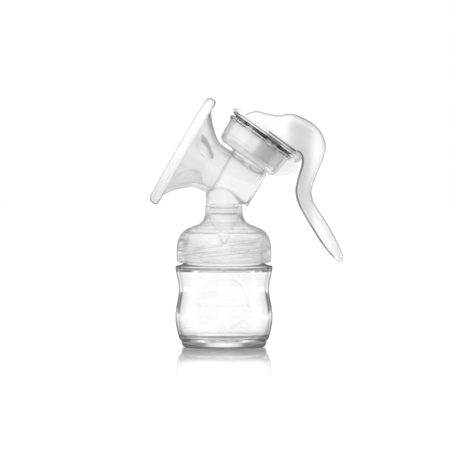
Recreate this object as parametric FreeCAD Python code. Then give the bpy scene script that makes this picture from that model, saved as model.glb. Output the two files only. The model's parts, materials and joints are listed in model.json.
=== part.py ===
"""Hand-operated breast pump: a bottle with a screwed-on clear body, a silicone cushion in its funnel,
a silicone diaphragm in a tilted cup, and a squeeze lever that lifts the diaphragm by its stem.

Frame: millimetres, +Z up, origin at the middle of the bottle's foot, funnel towards -X, lever towards +X.
Each function returns one node's shape, and main() writes them all to parts/.
"""
import FreeCAD, Part

import math
import os

Vector = FreeCAD.Vector

# ---------------------------------------------------------------- driving dimensions
# Bottle
FOOT_R = 27.6
FLOOR_Z = 4.8
BULGE_R = 33.7
WAIST_R = 31.3
BULGE_Z = 20.4
WAIST_Z = 40.4
SHOULDER_Z = 56.2
BOTTLE_WALL = 1.9
BOTTLE_NECK_R = 27.4
BOTTLE_MOUTH_R = 25.6
BOTTLE_TOP_Z = 78.3
MEDALLION_R = 18.3
MEDALLION_W = 1.3
MEDALLION_Z = 33.2
MEDALLION_RISE = 0.5

# Three-start screw thread shared by the bottle's neck and the cap
THREAD_STARTS = 3
THREAD_LEAD = 18.0
THREAD_SPAN_DEG = 200.0
THREAD_LOW_Z = 60.9
THREAD_DEPTH = 2.2
THREAD_ROOT_W = 2.5
THREAD_CREST_W = 1.2
THREAD_BITE = 0.5
CAP_BORE_R = 30.4

# Cap and upright neck of the clear body
CAP_R = 32.8
CAP_LOW_Z = 58.6
CAP_SEAT_Z = 78.6
CAP_TOP_Z = 88.3
CAP_TOP_R = 14.3
NECK_R = 12.5
NECK_BORE_R = 10.8
PARTITION_Z = 97.0
PARTITION_T = 1.6
SPIGOT_R = 8.2
SPIGOT_BORE_R = 6.7
SPIGOT_LOW_Z = 86.6

# Duckbill valve
VALVE_GAP = 0.1
VALVE_R = 9.6
VALVE_BEAD_R = 9.9
VALVE_TOP_Z = 96.3
VALVE_BEAD_Z = 92.4
VALVE_LOW_Z = 84.2
VALVE_TIP_Z = 69.5
VALVE_LIP = (1.25, 6.6)
VALVE_SLIT = (0.25, 5.6)

# Funnel frame: local +Z leaves the mouth, local +X is up and to the right
AXIS_Z = 119.2
FUNNEL_TILT = -60.0
FUNNEL_RIM_R = 40.0
FUNNEL_RIM_Z = 31.5
THROAT_R = 16.7
THROAT_START = 2.4
THROAT_WALL = 1.8
TUBE_END = -23.3
TUBE_END_R = 12.9
TUBE_END_SHIFT = 2.2
END_DISC_T = 1.8
END_DISC_R = 13.4

# Diaphragm cup frame: local +Z runs up the cup's axis, local +X points at the lever's hinge
CUP_X = 24.8
CUP_Z = 144.2
CUP_TILT = 35.5
CUP_R = 24.2
CUP_FLANGE_R = 25.6
CUP_FLANGE_T = 3.4
CUP_DEPTH = 16.4
CUP_WALL = 1.7
AIR_HOLE_R = 4.0
SADDLE_X = 2.45
SADDLE_HALF_LENGTH = 13.8
SADDLE_HALF_WIDTH = 8.2
SADDLE_REACH = 26.0
AIR_WAY_REACH = 32.0

# Diaphragm and stem, in the cup frame
LIP_R = 25.6
LIP_T = 1.7
SKIN = 1.3
DIAPHRAGM_DEPTH = 12.4
BOSS_R = 6.6
BOSS_TOP = -6.4
STEM_R = 1.9
STEM_FOOT_R = 4.6
STEM_FOOT_LOW = -10.6
STEM_FOOT_T = 1.8
BALL_R = 3.5
BALL_W = 10.7

# Lever
PIVOT_X = 27.6
PIVOT_W = 4.1
PIN_R = 1.8
BRIM_R = 26.5
BRIM_LOW = 5.5
BRIM_TOP = 7.7
SLOT_HALF = 2.15
SLOT_NEAR = 0.5
SLOT_FAR = -11.6
KEYHOLE_R = 4.1
LEVER_WALL = 1.9
EAR_INNER_Y = 8.8
EAR_T = 2.2
EAR_ARC_X = 38.4
EAR_ARC_Z = 138.3
EAR_ARC_R = 19.8
EAR_BOSS_R = 3.6
WEB_NEAR_X = 12.0
WEB_FAR_X = 34.0
WEB_LOW = -24.0
STRAP_L = 6.0
LIP_ROOM = 0.2
HOOK_BRIDGE = (-1.0, 8.5, 5.6)
HOOK_MOUTH_HALF = 1.3
HOOK_MOUTH_L = 9.0
HOOK_R = 4.0
HOOK_W = 3.2
HOOK_GAP = 0.6
PIN_PLAY = 0.1
NOTCH_GAP = 0.4
CUP_ROOM = 0.5
SQUEEZE_STEPS = (0, 6, 12, 18, 24)
LEVER_OPEN_BY = 4.0
UNDER_BRIM_END = 27.1
WIDE = 40.0

# Side outline of the lever: pairs of points across it, outer edge then inner edge, with the half width there
LEVER_STATIONS = [
    ((14.6, 160.9), (12.6, 158.2), 7.0),
    ((18.4, 162.1), (14.0, 154.8), 12.5),
    ((22.9, 162.9), (18.4, 151.2), 16.4),
    ((29.9, 161.4), (25.0, 146.8), 18.3),
    ((37.9, 160.5), (32.6, 141.8), 18.2),
    ((46.8, 161.5), (40.4, 137.4), 17.0),
    ((55.1, 158.4), (47.4, 135.6), 15.6),
    ((62.7, 153.7), (51.2, 134.9), 14.7),
    ((68.2, 147.0), (53.3, 132.7), 14.2),
    ((70.4, 139.8), (54.2, 129.8), 13.8),
    ((69.2, 132.2), (53.9, 125.8), 13.2),
    ((66.1, 123.9), (52.4, 120.6), 12.0),
    ((62.7, 115.6), (50.7, 114.3), 10.9),
    ((60.7, 107.4), (49.7, 107.6), 10.1),
    ((61.8, 101.1), (51.1, 100.6), 9.9),
    ((65.4, 95.0), (55.2, 92.0), 10.2),
    ((70.4, 87.3), (60.6, 83.0), 10.5),
    ((77.4, 74.9), (68.8, 70.2), 9.9),
    ((80.9, 67.0), (74.2, 63.6), 7.8),
    ((82.4, 61.7), (78.4, 59.4), 4.9),
    ((82.1, 58.9), (80.5, 58.0), 2.2),
]
CORNER_POWER = 3.2
SECTION_POINTS = 16


# ---------------------------------------------------------------- helpers
def tilted(shape, tilt, x, z):
    """The shape turned by tilt degrees about +Y and moved to (x, 0, z)."""
    moved = shape.copy()
    moved.Placement = FreeCAD.Placement(Vector(x, 0, z), FreeCAD.Rotation(Vector(0, 1, 0), tilt))
    return moved


def in_funnel(shape):
    return tilted(shape, FUNNEL_TILT, 0, AXIS_Z)


def in_cup(shape):
    return tilted(shape, CUP_TILT, CUP_X, CUP_Z)


def cup_point(x, w):
    """(x, z) in the whole object's frame of a point given in the cup frame."""
    c, s = math.cos(math.radians(CUP_TILT)), math.sin(math.radians(CUP_TILT))
    return CUP_X + x * c + w * s, CUP_Z - x * s + w * c


def curve(points):
    """A straight edge through two (r, z) points, or a smooth one through more."""
    at = [Vector(r, 0, z) for r, z in points]
    if len(at) == 2:
        return Part.makeLine(*at)
    spline = Part.BSplineCurve()
    spline.interpolate(at)
    return spline.toShape()


def turned(*stretches):
    """The solid of revolution about Z whose closed outline runs through the stretches, end to end."""
    edges = []
    for i, stretch in enumerate(stretches):
        edges.append(curve(stretch))
        onward = stretches[(i + 1) % len(stretches)][0]
        if math.dist(stretch[-1], onward) > 1e-6:
            edges.append(curve([stretch[-1], onward]))
    face = Part.Face(Part.Wire(edges))
    return face.revolve(Vector(0, 0, 0), Vector(0, 0, 1), 360)


def disc(r, low, high, x=0.0, y=0.0):
    return Part.makeCylinder(r, high - low, Vector(x, y, low), Vector(0, 0, 1))


def circle_wire(r, z, x=0.0):
    return Part.Wire(Part.makeCircle(r, Vector(x, 0, z), Vector(0, 0, 1)))


def flattened(round_r, round_z, half_x, half_y, z):
    """A solid that runs from a circle at round_z to an ellipse, longer along Y, at z."""
    top = circle_wire(round_r, round_z)
    top.rotate(Vector(0, 0, 0), Vector(0, 0, 1), 90)
    ellipse = Part.Ellipse(Vector(0, half_y, z), Vector(-half_x, 0, z), Vector(0, 0, z))
    return Part.makeLoft([top, Part.Wire(ellipse.toShape())], True, True)


def thread_ridge(root_r, crest_r, low_z, start_deg):
    """One start of the thread: a trapezoid swept along a right-hand helix."""
    helix = Part.makeHelix(THREAD_LEAD, THREAD_LEAD * THREAD_SPAN_DEG / 360, root_r)
    half_root, half_crest = THREAD_ROOT_W / 2, THREAD_CREST_W / 2
    corners = [(root_r, -half_root), (crest_r, -half_crest), (crest_r, half_crest), (root_r, half_root)]
    section = Part.makePolygon([Vector(r, 0, z) for r, z in corners + corners[:1]])
    ridge = Part.Wire(helix).makePipeShell([section], True, True)
    ridge.rotate(Vector(0, 0, 0), Vector(0, 0, 1), start_deg)
    ridge.translate(Vector(0, 0, low_z))
    return ridge


def thread(root_r, crest_r, low_z):
    return [
        thread_ridge(root_r, crest_r, low_z, 360 / THREAD_STARTS * i)
        for i in range(THREAD_STARTS)
    ]


# ---------------------------------------------------------------- bottle and valve
def side_wall(grow):
    """The waisted outer wall of the bottle, from foot step to shoulder, moved outwards by grow."""
    wall = [(30.9, 5.6), (32.6, 11.5), (BULGE_R, BULGE_Z), (33.0, 28.4), (31.8, 34.8),
            (WAIST_R, WAIST_Z), (31.9, 45.6), (33.0, 50.6), (BULGE_R, 54.6)]
    return [(r + grow, z) for r, z in wall]


def medallion():
    """Raised ring on the front of the bottle, following its waisted wall."""
    skin = turned(side_wall(MEDALLION_RISE), list(reversed(side_wall(-BOTTLE_WALL / 2))))
    start = Vector(0, -BULGE_R - 5, MEDALLION_Z)
    outside = Part.makeCylinder(MEDALLION_R, BULGE_R, start, Vector(0, 1, 0))
    inside = Part.makeCylinder(MEDALLION_R - MEDALLION_W, BULGE_R, start, Vector(0, 1, 0))
    return skin.common(outside.cut(inside))


def bottle():
    wall = BOTTLE_WALL
    body = turned(
        [(0, 0), (FOOT_R, 0)],
        [(FOOT_R, 0), (28.7, 0.9), (29.2, 2.4), (29.4, 4.2)],
        [(29.4, 4.2), (30.9, 5.6)],
        side_wall(0),
        [(BULGE_R, 54.6), (33.6, 55.6), (32.9, SHOULDER_Z)],
        [(32.9, SHOULDER_Z), (28.6, 57.6), (BOTTLE_NECK_R, 58.8)],
        [(BOTTLE_NECK_R, 58.8), (BOTTLE_NECK_R, BOTTLE_TOP_Z - 0.5)],
        [(BOTTLE_NECK_R - 0.5, BOTTLE_TOP_Z), (BOTTLE_MOUTH_R + 0.5, BOTTLE_TOP_Z)],
        [(BOTTLE_MOUTH_R, BOTTLE_TOP_Z - 0.5), (BOTTLE_MOUTH_R, 58.4)],
        [(BOTTLE_MOUTH_R, 58.4), (26.8, 56.0), (30.4, 54.6), (BULGE_R - wall, 52.8)],
        [
            (BULGE_R - wall, 52.8), (30.9, 49.6), (30.0, 45.6), (WAIST_R - wall, WAIST_Z),
            (29.9, 34.8), (31.0, 28.4), (BULGE_R - wall, BULGE_Z), (30.8, 12.6), (28.9, 7.8),
            (25.0, 5.3), (20.0, FLOOR_Z),
        ],
        [(20.0, FLOOR_Z), (0, FLOOR_Z)],
    )
    ridges = thread(BOTTLE_NECK_R - THREAD_BITE, BOTTLE_NECK_R + THREAD_DEPTH, THREAD_LOW_Z)
    return body.fuse([medallion()] + ridges)


def duckbill_valve():
    bore = SPIGOT_R + VALVE_GAP
    collar = turned(
        [(bore, VALVE_LOW_Z), (VALVE_R - 0.6, VALVE_LOW_Z)],
        [(VALVE_R, VALVE_LOW_Z + 0.6), (VALVE_R, VALVE_BEAD_Z)],
        [(VALVE_BEAD_R, VALVE_BEAD_Z + 0.5), (VALVE_BEAD_R, VALVE_TOP_Z - 0.4)],
        [(VALVE_BEAD_R - 0.4, VALVE_TOP_Z), (bore, VALVE_TOP_Z)],
    )
    bill = flattened(VALVE_R - 0.6, VALVE_LOW_Z, *VALVE_LIP, VALVE_TIP_Z)
    hollow = flattened(bore, VALVE_LOW_Z, *VALVE_SLIT, VALVE_TIP_Z)
    return collar.fuse(bill.cut(hollow))


# ---------------------------------------------------------------- clear body
def screw_cap():
    bell = turned(
        [(CAP_R, CAP_LOW_Z + 0.4), (CAP_R, 67.5), (31.8, 73.8), (29.3, 78.8), (25.8, 81.7),
         (21.4, 83.6), (17.0, 85.5), (15.1, 87.0), (CAP_TOP_R, CAP_TOP_Z)],
        [(CAP_TOP_R, CAP_TOP_Z), (12.4, CAP_TOP_Z)],
        [(12.4, CAP_TOP_Z), (14.8, 84.9), (20.2, 82.0), (23.6, 80.4)],
        [(24.6, CAP_SEAT_Z), (27.8, CAP_SEAT_Z)],
        [(27.8, CAP_SEAT_Z), (29.3, 75.6), (30.2, 71.8), (CAP_BORE_R, 68.5)],
        [(CAP_BORE_R, 68.5), (CAP_BORE_R, CAP_LOW_Z)],
        [(CAP_BORE_R, CAP_LOW_Z), (CAP_R - 0.4, CAP_LOW_Z)],
    )
    half_pitch = THREAD_LEAD / THREAD_STARTS / 2
    ridges = thread(CAP_BORE_R + THREAD_BITE, CAP_BORE_R - THREAD_DEPTH, THREAD_LOW_Z + half_pitch)
    return bell.fuse(ridges)


def neck_tube():
    wall = turned(
        [(CAP_TOP_R, CAP_TOP_Z), (13.3, 91.0), (12.8, 95.0), (NECK_R, 100.0)],
        [(NECK_R, 100.0), (NECK_R, AXIS_Z)],
        [(NECK_BORE_R, AXIS_Z), (NECK_BORE_R, PARTITION_Z + PARTITION_T)],
        [(SPIGOT_BORE_R, PARTITION_Z + PARTITION_T), (SPIGOT_BORE_R, SPIGOT_LOW_Z)],
        [(SPIGOT_R - 0.4, SPIGOT_LOW_Z), (SPIGOT_R, SPIGOT_LOW_Z + 0.6)],
        [(SPIGOT_R, SPIGOT_LOW_Z + 0.6), (SPIGOT_R, PARTITION_Z)],
        [(NECK_BORE_R, PARTITION_Z), (NECK_BORE_R, 93.0)],
        [(NECK_BORE_R, 93.0), (11.2, 90.4), (12.4, CAP_TOP_Z)],
    )
    return wall.cut([throat_solid(0), funnel_solid()])


def throat_solid(inset):
    """The tapered throat tube as a full solid, its skin moved inwards by inset."""
    start = circle_wire(THROAT_R - inset, THROAT_START)
    end = circle_wire(TUBE_END_R - inset, TUBE_END, TUBE_END_SHIFT)
    return in_funnel(Part.makeLoft([start, end], True, True))


def throat_tube():
    milk_way = disc(NECK_BORE_R, PARTITION_Z, AXIS_Z)
    air_way = in_cup(disc(AIR_HOLE_R, -AIR_WAY_REACH, -CUP_DEPTH, SADDLE_X))
    return throat_solid(0).cut([throat_solid(THROAT_WALL), milk_way, air_way])


def throat_end_disc():
    return in_funnel(disc(END_DISC_R, TUBE_END - END_DISC_T, TUBE_END, TUBE_END_SHIFT))


FUNNEL_OUTER = [
    (THROAT_R, THROAT_START), (16.8, 6.0), (17.1, 10.1), (18.5, 15.0), (22.1, 19.9), (26.0, 23.9),
    (30.0, 27.2), (34.0, 29.7), (38.0, 31.1), (FUNNEL_RIM_R, FUNNEL_RIM_Z),
]


def funnel_solid():
    """The funnel's outer shape, filled."""
    return in_funnel(turned(FUNNEL_OUTER, [(0, FUNNEL_RIM_Z), (0, THROAT_START)]))


def funnel():
    inner = [(FUNNEL_RIM_R, FUNNEL_RIM_Z + 1.6), (37.5, 32.8), (33.2, 31.4), (28.9, 28.7), (24.7, 25.2),
             (20.6, 21.0), (16.9, 15.9), (15.4, 10.6), (15.0, 6.0),
             (THROAT_R - THROAT_WALL, THROAT_START)]
    return in_funnel(turned(FUNNEL_OUTER, inner))


def saddle_column(inset):
    """A column with a long round-ended section, its skin moved inwards by inset."""
    r = SADDLE_HALF_WIDTH - inset
    reach = SADDLE_HALF_LENGTH - SADDLE_HALF_WIDTH
    low, high = -SADDLE_REACH, -CUP_DEPTH
    middle = Part.makeBox(2 * reach, 2 * r, high - low, Vector(SADDLE_X - reach, -r, low))
    ends = [disc(r, low, high, SADDLE_X - reach), disc(r, low, high, SADDLE_X + reach)]
    return in_cup(middle.fuse(ends).removeSplitter())


def saddle():
    """The short oblong column that joins the cup's floor to the throat, hollow for the air way."""
    kept_side = in_funnel(disc(2 * WIDE, TUBE_END, FUNNEL_RIM_Z))
    hollowed = saddle_column(0).cut(saddle_column(THROAT_WALL))
    return largest(hollowed.cut([throat_solid(0), funnel_solid()]).common(kept_side))


def largest(shape):
    return max(shape.Solids, key=lambda s: s.Volume)


CUP_OUTER = [
    [(19.0, -CUP_DEPTH), (21.4, -15.5), (22.5, -13.9), (23.1, -11.6)],
    [(23.1, -11.6), (CUP_R, -1.4)],
    [(CUP_R, -1.4), (CUP_FLANGE_R, 0.6)],
]


def diaphragm_cup():
    shell = turned(
        [(AIR_HOLE_R, -CUP_DEPTH), (19.0, -CUP_DEPTH)],
        *CUP_OUTER,
        [(CUP_FLANGE_R, 0.6), (CUP_FLANGE_R, CUP_FLANGE_T)],
        [(CUP_FLANGE_R, CUP_FLANGE_T), (CUP_R - CUP_WALL, CUP_FLANGE_T)],
        [(CUP_R - CUP_WALL, CUP_FLANGE_T), (21.4, -11.4)],
        [(21.4, -11.4), (20.6, -13.4), (18.6, -CUP_DEPTH + CUP_WALL)],
        [(18.6, -CUP_DEPTH + CUP_WALL), (AIR_HOLE_R, -CUP_DEPTH + CUP_WALL)],
    )
    return in_cup(shell)


def pivot():
    x, z = cup_point(PIVOT_X, PIVOT_W)
    return Vector(x, 0, z)


def ear_middle(side):
    return pivot() + Vector(0, side * (EAR_INNER_Y + EAR_T / 2), 0)


def across(r, half_width, centre):
    """A cylinder along Y, centred on y = 0."""
    return Part.makeCylinder(r, 2 * half_width, centre - Vector(0, half_width, 0), Vector(0, 1, 0))


def hinge_ear(side):
    """One web under the cup's rim, rounded below, with the boss that holds the hinge pin."""
    low_y = EAR_INNER_Y if side > 0 else -EAR_INNER_Y - EAR_T
    thick = Vector(0, low_y, 0)
    web = Part.makeCylinder(EAR_ARC_R, EAR_T, Vector(EAR_ARC_X, 0, EAR_ARC_Z) + thick, Vector(0, 1, 0))
    box_corner = Vector(WEB_NEAR_X, -WIDE, WEB_LOW)
    under_rim = in_cup(Part.makeBox(WEB_FAR_X - WEB_NEAR_X, 2 * WIDE, -WEB_LOW, box_corner))
    strap = in_cup(Part.makeBox(STRAP_L, EAR_T, PIVOT_W, Vector(CUP_FLANGE_R - 2, low_y, 0)))
    boss = Part.makeCylinder(EAR_BOSS_R, EAR_T, pivot() + thick, Vector(0, 1, 0))
    ear = web.common(under_rim).fuse([strap, boss])
    cup_space = in_cup(disc(CUP_FLANGE_R, 0, CUP_FLANGE_T + LIP_T + LIP_ROOM).fuse(cup_fill()))
    pin_hole = across(PIN_R, WIDE, pivot())
    return largest(ear.cut([cup_space, pin_hole]))


def cup_fill():
    """The cup's outer shape below its flange, filled."""
    return turned([(0, -CUP_DEPTH), (19.0, -CUP_DEPTH)], *CUP_OUTER, [(CUP_FLANGE_R, 0.6), (0, 0.6)])


def hinge_pin():
    return across(PIN_R, EAR_INNER_Y + EAR_T, pivot())


# ---------------------------------------------------------------- soft parts
def massage_cushion():
    """Silicone lining of the funnel: a sleeve in the throat, a cone, and a bead hooked over the rim."""
    skin_out = [(13.3, THROAT_START + 0.2), (13.4, 9.0), (15.0, 14.6), (19.4, 20.7), (24.2, 25.9),
                (28.6, 29.6), (33.2, 32.4), (37.4, 33.7), (40.2, 33.9)]
    bead = [(40.2, 31.2), (38.9, 30.7), (39.8, 29.7), (41.3, 30.6), (41.7, 32.6), (41.3, 34.9),
            (39.8, 36.3), (37.4, 36.7), (35.0, 36.0)]
    skin_in = [(35.0, 36.0), (31.6, 33.9), (27.6, 31.0), (23.2, 27.3), (18.4, 22.2), (14.0, 15.9),
               (11.8, 10.0), (11.5, THROAT_START + 0.2)]
    return in_funnel(turned(skin_out, [(40.2, 33.9), (40.2, 31.2)], bead, skin_in))


def diaphragm():
    """Silicone bowl with a lip over the cup's flange and a socket for the stem's foot."""
    lip_low, lip_high = CUP_FLANGE_T, CUP_FLANGE_T + LIP_T
    bowl_r = CUP_R - CUP_WALL - 0.4
    low = -DIAPHRAGM_DEPTH
    foot_top = STEM_FOOT_LOW + STEM_FOOT_T + 0.1
    bowl = turned(
        [(LIP_R, lip_high - 0.4), (LIP_R - 0.4, lip_high)],
        [(LIP_R - 0.4, lip_high), (bowl_r - SKIN, lip_high)],
        [(bowl_r - SKIN, lip_high), (19.6, -8.6)],
        [(19.6, -8.6), (17.4, low + SKIN + 0.4), (14.2, low + SKIN)],
        [(14.2, low + SKIN), (10.0, low + SKIN + 1.5), (BOSS_R, low + SKIN + 0.6)],
        [(BOSS_R, low + SKIN + 0.6), (BOSS_R, BOSS_TOP)],
        [(BOSS_R, BOSS_TOP), (STEM_R + 0.1, BOSS_TOP)],
        [(STEM_R + 0.1, BOSS_TOP), (STEM_R + 0.1, foot_top)],
        [(STEM_FOOT_R + 0.1, foot_top), (STEM_FOOT_R + 0.1, STEM_FOOT_LOW - 0.1)],
        [(STEM_FOOT_R + 0.1, STEM_FOOT_LOW - 0.1), (0, STEM_FOOT_LOW - 0.1)],
        [(0, low), (BOSS_R + 0.6, low)],
        [(BOSS_R + 0.6, low), (10.0, low + 0.9), (14.2, low)],
        [(14.2, low), (18.8, low + 0.6), (20.8, -9.0)],
        [(20.8, -9.0), (bowl_r, lip_low - 0.4)],
        [(bowl_r, lip_low - 0.4), (bowl_r, lip_low)],
        [(bowl_r, lip_low), (LIP_R, lip_low)],
    )
    return in_cup(bowl)


def diaphragm_stem():
    """Rod with a flat foot in the diaphragm's socket and a ball at the top for the lever's keyhole."""
    rod = disc(STEM_R, STEM_FOOT_LOW, BALL_W)
    foot = disc(STEM_FOOT_R, STEM_FOOT_LOW, STEM_FOOT_LOW + STEM_FOOT_T)
    ball = Part.makeSphere(BALL_R, Vector(0, 0, BALL_W))
    return in_cup(rod.fuse([foot, ball]))


# ---------------------------------------------------------------- lever
def lever_section(outer, inner, half_width, inset=0.0, open_by=0.0):
    """A closed, rounded wire across the lever; inset shrinks it and open_by pushes its inner side out."""
    o, i = Vector(outer[0], 0, outer[1]), Vector(inner[0], 0, inner[1])
    along = (o - i).normalize()
    top, low = o - along * inset, i - along * open_by
    middle, half = (top + low) * 0.5, (top - low).Length / 2
    points = []
    for k in range(SECTION_POINTS):
        angle = 2 * math.pi * (k + 0.5) / SECTION_POINTS
        c, s = math.cos(angle), math.sin(angle)
        power = 2 / CORNER_POWER
        y = (half_width - inset) * math.copysign(abs(c) ** power, c)
        points.append(middle + along * (half * math.copysign(abs(s) ** power, s)) + Vector(0, y, 0))
    spline = Part.BSplineCurve()
    spline.interpolate(points, PeriodicFlag=True)
    return Part.Wire(spline.toShape())


def lever_blank():
    return Part.makeLoft([lever_section(*station) for station in LEVER_STATIONS], True, False)


def lever_hollow():
    sections = [lever_section(*s, inset=LEVER_WALL, open_by=LEVER_OPEN_BY) for s in LEVER_STATIONS[1:-2]]
    return Part.makeLoft(sections, True, False)


def under_brim():
    low = BRIM_TOP - 2 * WIDE
    return in_cup(Part.makeBox(UNDER_BRIM_END + WIDE, 2 * WIDE, 2 * WIDE, Vector(-WIDE, -WIDE, low)))


def lever_shell():
    return largest(lever_blank().cut([lever_hollow(), under_brim()]))


def lever_brim():
    """The disc that covers the cup, with the keyhole that the stem's ball hooks through."""
    plate = disc(BRIM_R, BRIM_LOW, BRIM_TOP)
    plate = plate.makeChamfer(0.4, [e for e in plate.Edges if e.Closed])
    low, high = BRIM_LOW - 1, BRIM_TOP + 1
    slot = Part.makeBox(SLOT_NEAR - SLOT_FAR, 2 * SLOT_HALF, high - low, Vector(SLOT_FAR, -SLOT_HALF, low))
    cuts = [slot, disc(SLOT_HALF, low, high, SLOT_NEAR), disc(KEYHOLE_R, low, high, SLOT_FAR)]
    plate = in_cup(plate.cut(cuts))
    notches = [across(EAR_BOSS_R + NOTCH_GAP, EAR_T / 2 + NOTCH_GAP, ear_middle(side)) for side in (-1, 1)]
    return plate.cut(notches + [across(PIN_R + NOTCH_GAP, WIDE, pivot())])


def hinge_hook(side):
    """A C-shaped hook that snaps over the hinge pin, hung from the brim's edge."""
    low_y = side * (EAR_INNER_Y - HOOK_GAP - HOOK_W / 2) - HOOK_W / 2
    ring = Part.makeCylinder(HOOK_R, HOOK_W, pivot() + Vector(0, low_y, 0), Vector(0, 1, 0))
    start, end, tall = HOOK_BRIDGE
    web = in_cup(Part.makeBox(end - start, HOOK_W, tall, Vector(PIVOT_X + start, low_y, PIVOT_W)))
    bore = across(PIN_R + PIN_PLAY, WIDE, pivot())
    mouth_corner = Vector(PIVOT_X - HOOK_MOUTH_HALF, -WIDE, PIVOT_W - HOOK_MOUTH_L)
    mouth = in_cup(Part.makeBox(2 * HOOK_MOUTH_HALF, 2 * WIDE, HOOK_MOUTH_L, mouth_corner))
    brim_space = in_cup(disc(BRIM_R, BRIM_LOW, BRIM_TOP))
    return largest(ring.fuse(web).cut([bore, mouth, brim_space] + cup_seen_from_lever()))


def cup_seen_from_lever():
    """The cup with its lip and a little room, at steps of the squeeze, in the lever's own frame."""
    cup = in_cup(disc(CUP_FLANGE_R + CUP_ROOM, -CUP_DEPTH, BRIM_LOW))
    steps = []
    for angle in SQUEEZE_STEPS:
        step = cup.copy()
        step.rotate(pivot(), Vector(0, 1, 0), -angle)
        steps.append(step)
    return steps


# ---------------------------------------------------------------- the assembly
NODES = {
    "bottle": bottle,
    "duckbill_valve": duckbill_valve,
    "screw_cap": screw_cap,
    "neck_tube": neck_tube,
    "throat_tube": throat_tube,
    "throat_end_disc": throat_end_disc,
    "funnel": funnel,
    "saddle": saddle,
    "diaphragm_cup": diaphragm_cup,
    "hinge_ear_left": lambda: hinge_ear(1),
    "hinge_ear_right": lambda: hinge_ear(-1),
    "hinge_pin": hinge_pin,
    "massage_cushion": massage_cushion,
    "diaphragm": diaphragm,
    "diaphragm_stem": diaphragm_stem,
    "lever_shell": lever_shell,
    "lever_brim": lever_brim,
    "hinge_hook_left": lambda: hinge_hook(1),
    "hinge_hook_right": lambda: hinge_hook(-1),
}


def main():
    os.makedirs("parts", exist_ok=True)
    for name, make in NODES.items():
        shape = make()
        if not shape.isValid() or not shape.Solids:
            raise ValueError(f"{name} is not a valid solid")
        shape.exportStep(f"parts/{name}.step")
        box = shape.BoundBox
        print(f"{name}: {len(shape.Solids)} solid(s), {shape.Volume:.0f} mm3, "
              f"x {box.XMin:.1f}..{box.XMax:.1f}, z {box.ZMin:.1f}..{box.ZMax:.1f}")


main()
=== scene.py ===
"""Looks of a hand-operated breast pump: clear polypropylene body and bottle, silicone cushion and
diaphragm, translucent squeeze lever. Shapes are written in millimetres in three local frames (bottle,
funnel, cup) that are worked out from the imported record, and every mesh is scaled to metres as it is made."""
import json
import math

import bmesh
import bpy
import numpy as np
from mathutils import Matrix, Vector


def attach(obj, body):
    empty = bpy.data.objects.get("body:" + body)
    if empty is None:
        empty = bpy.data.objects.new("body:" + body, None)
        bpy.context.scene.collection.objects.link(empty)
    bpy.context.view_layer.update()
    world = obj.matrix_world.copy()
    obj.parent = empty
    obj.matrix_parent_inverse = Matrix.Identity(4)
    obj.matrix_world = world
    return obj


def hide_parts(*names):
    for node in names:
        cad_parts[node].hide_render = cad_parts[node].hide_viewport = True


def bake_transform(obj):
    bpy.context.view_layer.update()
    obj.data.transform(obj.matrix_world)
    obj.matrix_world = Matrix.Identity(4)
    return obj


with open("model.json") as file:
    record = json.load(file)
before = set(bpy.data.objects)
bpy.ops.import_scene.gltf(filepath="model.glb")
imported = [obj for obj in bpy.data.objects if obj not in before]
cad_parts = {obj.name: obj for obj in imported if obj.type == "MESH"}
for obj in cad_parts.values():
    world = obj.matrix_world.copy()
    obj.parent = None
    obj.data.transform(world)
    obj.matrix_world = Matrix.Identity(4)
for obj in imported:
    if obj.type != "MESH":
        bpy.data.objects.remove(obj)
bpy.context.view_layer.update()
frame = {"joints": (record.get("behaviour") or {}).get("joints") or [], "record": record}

MM = 0.001
JOINTS = {joint["name"]: joint for joint in frame["joints"]}
MOUNTS = {mount["name"]: mount for mount in frame["record"]["mounts"]}

# ---------------------------------------------------------------- local frames
CUP_AXIS = Vector(JOINTS["stem_lift"]["axis"]).normalized()
PIVOT = Vector(JOINTS["lever_squeeze"]["pos_m"])
PIVOT_X, PIVOT_W = 27.6, 4.1
FUNNEL_AXIS = Vector(MOUNTS["funnel_rim"]["axis"]).normalized()
FUNNEL_RIM_U = 36.7


def frame_at(origin, axis):
    """A frame whose local Z runs along axis, with local Y along the pump's Y."""
    side = Vector((0, 1, 0))
    across = side.cross(axis)
    turn = Matrix((across, side, axis)).transposed().to_4x4()
    return Matrix.Translation(origin) @ turn @ Matrix.Scale(MM, 4)


BOTTLE = Matrix.Scale(MM, 4)
CUP_ACROSS = Vector((0, 1, 0)).cross(CUP_AXIS)
CUP = frame_at(PIVOT - CUP_ACROSS * (PIVOT_X * MM) - CUP_AXIS * (PIVOT_W * MM), CUP_AXIS)
FUNNEL = frame_at(Vector(MOUNTS["funnel_rim"]["pos_m"]) - FUNNEL_AXIS * (FUNNEL_RIM_U * MM), FUNNEL_AXIS)
THROAT_Z = FUNNEL.translation.z / MM

# ---------------------------------------------------------------- driving sizes, millimetres
NECK_R, MOUTH_R, BOTTLE_TOP = 27.4, 25.6, 78.3
THREAD_STARTS, THREAD_LEAD, THREAD_SPAN, THREAD_LOW = 3, 18.0, 200.0, 60.9
THREAD_DEPTH, THREAD_ROOT, THREAD_CREST = 2.2, 2.5, 1.2
CAP_BORE = 30.4
MEDALLION_R, MEDALLION_IN, MEDALLION_Z = 18.6, 16.2, 33.2
BODY_NECK_R, BODY_BORE_R, PARTITION_Z = 12.5, 10.8, 97.0
PARTITION_TOP = PARTITION_Z + 1.6
SPIGOT_R, SPIGOT_BORE, SPIGOT_END = 8.2, 6.7, 86.6
VALVE_R, VALVE_BORE, VALVE_SHOULDER, VALVE_TIP = 9.0, 8.3, 84.15, 69.5
# painted shade: dark lines are painted at these steps of the valve's collar
VALVE_STEPS = ((96.1, 0.5), (92.2, 0.6), (84.4, 0.5))  # middle and half height of each dark step
THROAT_R, THROAT_WALL, THROAT_START = 16.7, 1.8, 2.4
TUBE_END, TUBE_END_R, TUBE_SHIFT, END_DISC_R = -23.3, 12.9, 2.2, 13.4
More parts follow.
